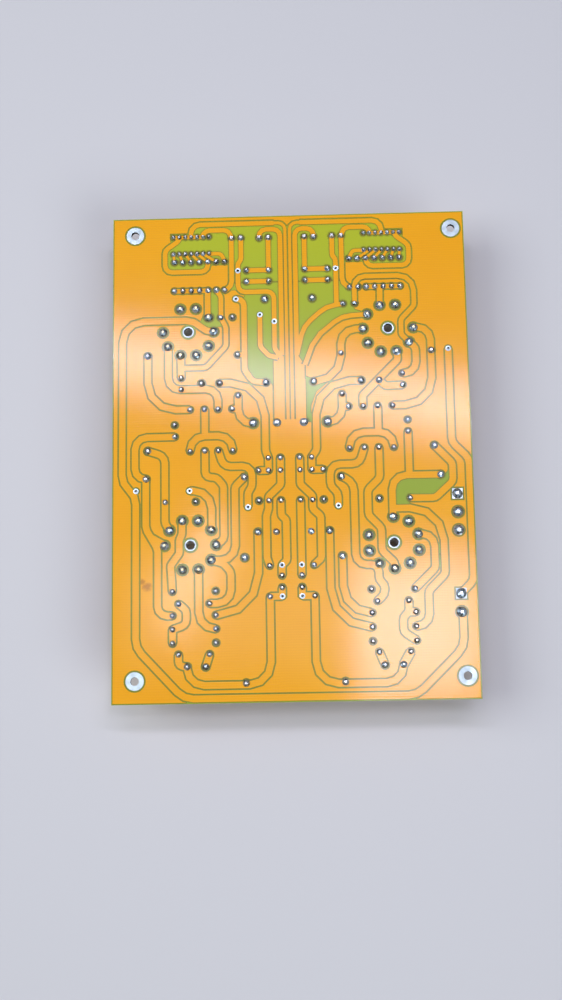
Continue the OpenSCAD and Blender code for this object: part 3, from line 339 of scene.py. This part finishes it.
def makeMetalMaterial(name, look):
    look = {**metalCommon, **look}
    material, tree, shader, place = newMaterial(name, look["roughness"], look["metallic"])
    cloud = mottle(tree, place, look["cloud"], look["detail"], look["contrast"])
    colour = mixColour(tree, cloud, look["dark"], look["colour"])
    if "wall" in look:  # painted shade: near black on the upright hole walls, for the shade inside the holes
        colour = mixColour(tree, flatMask(tree), look["wall"], colour)
    link(tree, colour, shader.inputs["Base Color"])
    varyRoughness(tree, shader, cloud, look, look["roughSpan"])
    wave = mottle(tree, place, look["cloud"] * look["waveShare"], look["waveDetail"],
                  look["waveContrast"])
    addBump(tree, shader, wave, look["ripple"])
    return material


# moulded, dipped and glazed finishes of the component side
plainLooks = {
    "ceramic": {"colour": (0.86, 0.85, 0.80), "dark": (0.74, 0.72, 0.66), "roughness": 0.3,
                "coat": 0.6, "cloud": 120.0, "grain": 0.00001},
    "switch_red": {"colour": (0.46, 0.020, 0.016), "dark": (0.34, 0.014, 0.012), "roughness": 0.45,
                   "coat": 0.1, "cloud": 400.0, "grain": 0.000012},
    "slider_white": {"colour": (0.86, 0.86, 0.83), "dark": (0.76, 0.75, 0.71), "roughness": 0.4,
                     "coat": 0.0, "cloud": 500.0, "grain": 0.000008},
    "phenolic_base": {"colour": (0.05, 0.032, 0.022), "dark": (0.03, 0.02, 0.014), "roughness": 0.6,
                      "coat": 0.0, "cloud": 600.0, "grain": 0.00002},
    "film_wrap": {"colour": (0.72, 0.44, 0.05), "dark": (0.58, 0.33, 0.03), "roughness": 0.28,
                  "coat": 0.5, "cloud": 90.0, "grain": 0.00001},
    "film_box_red": {"colour": (0.42, 0.022, 0.016), "dark": (0.33, 0.016, 0.012), "roughness": 0.3,
                     "coat": 0.3, "cloud": 300.0, "grain": 0.00001},
    "film_box_blue": {"colour": (0.022, 0.085, 0.34), "dark": (0.016, 0.06, 0.26), "roughness": 0.3,
                      "coat": 0.3, "cloud": 300.0, "grain": 0.00001},
    "resistor_blue": {"colour": (0.22, 0.42, 0.58), "dark": (0.17, 0.34, 0.49), "roughness": 0.32,
                      "coat": 0.4, "cloud": 500.0, "grain": 0.00001},
    "resistor_grey": {"colour": (0.26, 0.26, 0.21), "dark": (0.20, 0.20, 0.16), "roughness": 0.6,
                      "coat": 0.0, "cloud": 700.0, "grain": 0.00003},
    "nylon_white": {"colour": (0.82, 0.79, 0.70), "dark": (0.74, 0.70, 0.60), "roughness": 0.38,
                    "coat": 0.0, "cloud": 200.0, "grain": 0.000008},
    "capacitor_sleeve": {"colour": (0.012, 0.016, 0.035), "dark": (0.007, 0.009, 0.02),
                         "roughness": 0.24, "coat": 0.5, "cloud": 100.0, "grain": 0.00001},
}


plainCommon = {"coatRoughness": 0.12, "detail": 4.0, "contrast": 1.5, "roughSpan": (0.06, -0.04),
               "grainCloud": (1800.0, 2.0, 1.0)}


def makePlainMaterial(name, look):
    look = {**plainCommon, **look}
    material, tree, shader, place = newMaterial(name, look["roughness"], 0.0, look["coat"],
                                                look["coatRoughness"])
    cloud = mottle(tree, place, look["cloud"], look["detail"], look["contrast"])
    colour = mixColour(tree, cloud, look["dark"], look["colour"])
    link(tree, colour, shader.inputs["Base Color"])
    varyRoughness(tree, shader, cloud, look, look["roughSpan"])
    addBump(tree, shader, mottle(tree, place, *look["grainCloud"]), look["grain"])
    return material


finishes = {"solder_mask": makeMaskMaterial("solderMask", maskLook),
            "board_core": makeCoreMaterial("laminateCore", coreLook)}
for slotName, look in metalLooks.items():
    finishes[slotName] = makeMetalMaterial(slotName, look)
for slotName, look in plainLooks.items():
    finishes[slotName] = makePlainMaterial(slotName, look)
print("materials made:", len(finishes))

for nodeName, node in nodes.items():
    for index in range(len(node.material_slots)):
        node.material_slots[index].material = finishes[slotOf[nodeName]]
print("finishes placed on the CAD nodes")


# the box of each loose body in a CAD node, row by row
def looseBoxes(node, weld=0.000003):
    form = bmesh.new()
    form.from_mesh(node.data)
    bmesh.ops.remove_doubles(form, verts=form.verts, dist=weld)
    form.verts.index_update()
    seen, boxes = set(), []
    for start in form.verts:
        if start.index in seen:
            continue
        seen.add(start.index)
        stack, low, high = [start], start.co.copy(), start.co.copy()
        while stack:
            vert = stack.pop()
            for axis in range(3):
                low[axis] = min(low[axis], vert.co[axis])
                high[axis] = max(high[axis], vert.co[axis])
            for edge in vert.link_edges:
                other = edge.other_vert(vert)
                if other.index not in seen:
                    seen.add(other.index)
                    stack.append(other)
        boxes.append((low, high))
    form.free()
    return sorted(boxes, key=lambda box: (round(box[0].y, 4), round(box[0].x, 4)))


# a rod or disc lying along X (along 0) or Y (along 1)
def addRod(form, middle, along, radius, length, segments):
    turn = Matrix.Rotation(math.radians(90), 4, "Y" if along == 0 else "X")
    bmesh.ops.create_cone(form, cap_ends=True, segments=segments, radius1=radius, radius2=radius,
                          depth=length, matrix=Matrix.Translation(middle) @ turn)


# a flat bar from one point to another
def addStrip(form, start, end, width, thickness):
    along = end - start
    turn = Matrix.Rotation(math.atan2(along.y, along.x), 4, "Z")
    grow = Matrix.Diagonal((along.length, width, thickness, 1.0))
    middle = Matrix.Translation((start + end) / 2)
    bmesh.ops.create_cube(form, size=1.0, matrix=middle @ turn @ grow)


# places on the board: millimetres from its far left corner, as in the CAD's own tables
boardLow, boardHigh = (Vector(nodes["board"].bound_box[index]) for index in (0, 6))


def boardPoint(x, y, z):
    return Vector((boardLow.x + x / 1000, boardHigh.y - y / 1000, z))


def finishPiece(name, form, slotName, smooth=True):
    bmesh.ops.recalc_face_normals(form, faces=form.faces)
    for face in form.faces:
        face.smooth = smooth
    mesh = bpy.data.meshes.new(name)
    form.to_mesh(mesh)
    form.free()
    piece = bpy.data.objects.new(name, mesh)
    bpy.context.scene.collection.objects.link(piece)
    mesh.materials.append(finishes[slotName])
    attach(piece, "board_assembly")
    return piece


# solder joints: no two alike, each drawn up round its lead and leaning a little
jointLook = {
    "segments": 14,
    # shares of the radius and of the height, from the pad up
    "rings": [(1.0, 0.0), (0.985, 0.12), (0.90, 0.36), (0.74, 0.62), (0.56, 0.84), (0.40, 0.97),
              (0.2, 1.0)],
    "heightSpread": 0.16,
    "lean": 0.10,
    "uneven": 0.035,
    "seed": 11,
}


def addJoint(form, low, high, look, rng):
    centre = (low + high) / 2
    radius, base = (high.x - low.x) / 2, low.z
    height = (high.z - low.z) * (1 + rng.uniform(-look["heightSpread"], 0))
    lean = Vector((rng.uniform(-1, 1), rng.uniform(-1, 1), 0)) * look["lean"] * radius
    phase = rng.uniform(0, 2 * math.pi)
    made = bmesh.ops.create_circle(form, cap_ends=True, segments=look["segments"], radius=radius)
    verts = made["verts"]
    bmesh.ops.translate(form, vec=(centre.x, centre.y, base), verts=verts)
    face = verts[0].link_faces[0]
    share, rise = look["rings"][0]
    ring = Vector((centre.x, centre.y, base))
    for nextShare, nextRise in look["rings"][1:]:
        grown = bmesh.ops.extrude_face_region(form, geom=[face],
                                              use_keep_orig=(rise == 0.0))["geom"]
        verts = [item for item in grown if isinstance(item, bmesh.types.BMVert)]
        face = [item for item in grown if isinstance(item, bmesh.types.BMFace)][0]
        scale = nextShare / share
        bmesh.ops.scale(form, vec=(scale, scale, 1), space=Matrix.Translation(-ring), verts=verts)
        step = Vector((0, 0, (nextRise - rise) * height)) + lean * (nextRise - rise)
        bmesh.ops.translate(form, vec=step, verts=verts)
        ring = ring + step
        for vert in verts:
            away = vert.co - ring
            wobble = look["uneven"] * math.sin(2 * math.atan2(away.y, away.x) + phase)
            vert.co += Vector((away.x, away.y, 0)) * wobble
        share, rise = nextShare, nextRise


rng = random.Random(jointLook["seed"])
for nodeName in ("socket_solder", "switch_solder", "connector_solder", "capacitor_solder",
                 "resistor_solder"):
    form = bmesh.new()
    for low, high in looseBoxes(nodes[nodeName]):
        addJoint(form, low, high, jointLook, rng)
    blobs = finishPiece(nodeName + "_joints", form, "solder")
    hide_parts(nodeName)
print("solder joints shaped")


# short tracks from the switches to the row of resistors beside them
fanLook = {"pins": ((25.9, 16.37), (107.25, 16.37)), "pinPitch": 2.54,
           "loads": ((26.3, 20.0), (100.8, 20.0)), "loadPitch": 3.57,
           "joined": ((0, 6), (1, 7)), "width": 0.0011, "level": 0.02674, "thickness": 0.00009}
form = bmesh.new()
for pin, load, (first, last) in zip(fanLook["pins"], fanLook["loads"], fanLook["joined"]):
    for index in range(first, last):
        start = boardPoint(pin[0] + index * fanLook["pinPitch"], pin[1], fanLook["level"])
        end = boardPoint(load[0] + index * fanLook["loadPitch"], load[1], fanLook["level"])
        addStrip(form, start, end, fanLook["width"], fanLook["thickness"])
finishPiece("fan_tracks", form, "solder_mask", smooth=False)

# mask drawn over two hairlines that run through the copper, but not over the bare lines they cross
hairLook = {"lines": (((149.5, 10.215), (73.0, 61.843)), ((149.5, 79.759), (81.0, 62.765))),
            "width": 0.00026, "level": 0.026752, "thickness": 0.00009,
            "beside": 0.00012,  # how far to each side of a hairline the copper is felt for
            "step": 0.00002, "least": 0.0005}


# stretches of a line with no copper on it and copper beside it
def hairStretches(copper, start, end, look):
    along = (end - start).normalized()
    beside = Vector((-along.y, along.x, 0)) * look["beside"]
    above, down = Vector((0, 0, look["thickness"])), Vector((0, 0, -1))
    count = round((end - start).length / look["step"])
    stretches, first = [], None
    for index in range(count + 1):
        spot = start.lerp(end, index / count)
        left, middle, right = (copper.ray_cast(spot + above + side * beside, down)[0] is not None
                               for side in (-1, 0, 1))
        if (left or right) and not middle:
            first = first or spot
        elif first:
            stretches.append((first, spot))
            first = None
    if first:
        stretches.append((first, end))
    return [pair for pair in stretches if (pair[1] - pair[0]).length > look["least"]]


form = bmesh.new()
form.from_mesh(nodes["solder_side_copper"].data)
copper = BVHTree.FromBMesh(form)
form.free()
form = bmesh.new()
for ends in hairLook["lines"]:
    start, end = (boardPoint(x, y, hairLook["level"]) for x, y in ends)
    for near, far in hairStretches(copper, start, end, hairLook):
        addStrip(form, near, far, hairLook["width"], hairLook["thickness"])
finishPiece("mask_over_hairlines", form, "solder_mask", smooth=False)

# the first pad of each power header is square and tinned over its whole face
padLook = {"places": ((143.1, 122.8), (143.1, 164.2)), "side": 0.0043, "level": 0.02683,
           "thickness": 0.0001}
form = bmesh.new()
for x, y in padLook["places"]:
    middle, half = boardPoint(x, y, padLook["level"]), Vector((padLook["side"] / 2, 0, 0))
    addStrip(form, middle - half, middle + half, padLook["side"], padLook["thickness"])
finishPiece("square_tinned_pads", form, "tinned_plating", smooth=False)
print("fan tracks, mask and square pads laid")


# colour bands on the resistors
bandLook = {
    "positions": (-0.40, -0.22, -0.07, 0.08, 0.38),
    "width": 0.075,
    "proud": 0.00002,
    "shades": {"brown": (0.10, 0.035, 0.012), "black": (0.012, 0.012, 0.012),
               "red": (0.45, 0.02, 0.014), "orange": (0.70, 0.20, 0.01),
               "yellow": (0.75, 0.55, 0.02), "green": (0.03, 0.22, 0.05),
               "violet": (0.12, 0.03, 0.25), "grey": (0.25, 0.25, 0.25)},
    "dark": 0.8,
    "paint": {"roughness": 0.35, "coat": 0.3, "cloud": 600.0, "grain": 0.000006},
    "waist": 0.86,  # a resistor's middle is thinner than its ends
    "capReach": 0.192,
    "segments": 20,
    "seed": 5,
}


def makeBands(nodeName, look, rng):
    shades = list(look["shades"])
    forms = {shade: bmesh.new() for shade in shades}
    for low, high in looseBoxes(nodes[nodeName]):
        size, centre = high - low, (low + high) / 2
        along = 0 if size.x > size.y else 1
        length, radius = size[along], size.z / 2
        row = [rng.choice(shades[2:]), rng.choice(shades), "black", rng.choice(shades[:5]), "brown"]
        for position, shade in zip(look["positions"], row):
            onCap = abs(position) + look["width"] / 2 > 0.5 - look["capReach"]
            ringRadius = radius * (1.0 if onCap else look["waist"]) + look["proud"]
            spot = centre.copy()
            spot[along] += position * length
            addRod(forms[shade], spot, along, ringRadius, look["width"] * length, look["segments"])
    return forms


for shade, colour in bandLook["shades"].items():
    dark = tuple(bandLook["dark"] * value for value in colour)
    look = {"colour": colour, "dark": dark, **bandLook["paint"]}
    finishes["band_" + shade] = makePlainMaterial("band_" + shade, look)
rng = random.Random(bandLook["seed"])
for nodeName in ("half_watt_resistors", "two_watt_resistors"):
    for shade, form in makeBands(nodeName, bandLook, rng).items():
        if not form.faces:
            form.free()
            continue
        bands = finishPiece(nodeName + "_" + shade + "_bands", form, "band_" + shade, smooth=False)
print("bands placed")

# resin poured into the ends of the wrapped film capacitors
resinLook = {"colour": (0.50, 0.26, 0.03), "dark": (0.38, 0.18, 0.02), "roughness": 0.35,
             "coat": 0.4, "cloud": 350.0, "grain": 0.00003, "share": 0.86, "proud": 0.00012,
             "segments": 40}
finishes["resin"] = makePlainMaterial("resin", resinLook)
form = bmesh.new()
wrapped = [name for name in nodes if slotOf[name] == "film_wrap"]
for nodeName in wrapped:
    for low, high in looseBoxes(nodes[nodeName]):
        size, centre = high - low, (low + high) / 2
        along = 0 if size.x > size.y else 1
        addRod(form, centre, along, size.z / 2 * resinLook["share"],
               size[along] + 2 * resinLook["proud"], resinLook["segments"])
resin = finishPiece("resin_ends", form, "resin", smooth=False)
print("resin poured into", len(wrapped), "wraps")


# floor, lights and camera
stageLook = {"floorSize": 3.0, "floorColour": (0.62, 0.64, 0.66), "floorDark": 0.96,
             "floorCloud": (3.0, 3.0, 0.5), "floorRoughness": 0.8,
             "world": (0.25, 0.29, 0.35), "worldStrength": 0.3}
lightLook = {
    # a long strip whose shine crosses the upper third, and panes that shine on the lower third
    "strip": {"place": (0.05, 0.284, 1.03), "size": (0.75, 0.048), "power": 3.1,
              "colour": (0.88, 0.82, 1.0)},
    "paneRight": {"place": (0.122, 0.006, 1.03), "size": (0.16, 0.14), "power": 1.2,
                  "colour": (0.88, 0.82, 1.0)},
    "paneLeft": {"place": (-0.127, 0.076, 1.03), "size": (0.13, 0.04), "power": 0.24,
                 "colour": (0.90, 0.86, 1.0)},
    "paneWide": {"place": (0.0, 0.030, 1.03), "size": (0.42, 0.12), "power": 0.32,
                 "colour": (1.0, 0.98, 0.97)},
    # soft light from the sides
    "softSide": {"place": (-0.9, 0.1, 1.1), "size": (0.9, 0.9), "power": 10.0,
                 "colour": (1.0, 1.0, 1.0)},
    "softFront": {"place": (0.75, -0.8, 1.0), "size": (0.8, 0.8), "power": 8.0,
                  "colour": (0.97, 0.98, 1.0)},
}
cameraLook = {"lens": 50.0, "sensor": 36.0, "nearest": 0.01,
              "place": (0.00898, -0.12044, 0.59306), "turn": (9.980, 1.562, -0.942)}


def makeFloor(look):
    form = bmesh.new()
    bmesh.ops.create_grid(form, x_segments=1, y_segments=1, size=look["floorSize"] / 2)
    mesh = bpy.data.meshes.new("floor")
    form.to_mesh(mesh)
    form.free()
    floor = bpy.data.objects.new("floor", mesh)
    bpy.context.scene.collection.objects.link(floor)
    material, tree, shader, place = newMaterial("floorPaint", look["floorRoughness"])
    pale = look["floorColour"]
    dark = tuple(look["floorDark"] * value for value in pale)
    cloud = mottle(tree, place, *look["floorCloud"])
    link(tree, mixColour(tree, cloud, dark, pale), shader.inputs["Base Color"])
    mesh.materials.append(material)


def makeLight(name, look):
    lamp = bpy.data.lights.new(name, "AREA")
    lamp.shape = "RECTANGLE"
    lamp.size, lamp.size_y = look["size"]
    lamp.energy = look["power"]
    lamp.color = look["colour"]
    holder = bpy.data.objects.new(name, lamp)
    holder.location = look["place"]
    towardsBoard = -Vector(look["place"])
    holder.rotation_euler = towardsBoard.to_track_quat("-Z", "Y").to_euler()
    bpy.context.scene.collection.objects.link(holder)


makeFloor(stageLook)
for name, look in lightLook.items():
    makeLight(name, look)
world = bpy.data.worlds.new("studio")
world.use_nodes = True
world.node_tree.nodes["Background"].inputs[0].default_value = (*stageLook["world"], 1.0)
world.node_tree.nodes["Background"].inputs[1].default_value = stageLook["worldStrength"]
bpy.context.scene.world = world

lens = bpy.data.cameras.new("camera")
lens.lens = cameraLook["lens"]
lens.sensor_fit = "VERTICAL"
lens.sensor_height = cameraLook["sensor"]
lens.clip_start = cameraLook["nearest"]
camera = bpy.data.objects.new("camera", lens)
camera.location = cameraLook["place"]
camera.rotation_euler = Euler([math.radians(angle) for angle in cameraLook["turn"]])
bpy.context.scene.collection.objects.link(camera)
bpy.context.scene.camera = camera
bpy.context.scene.view_settings.view_transform = "Standard"
print("stage, lights and camera set")
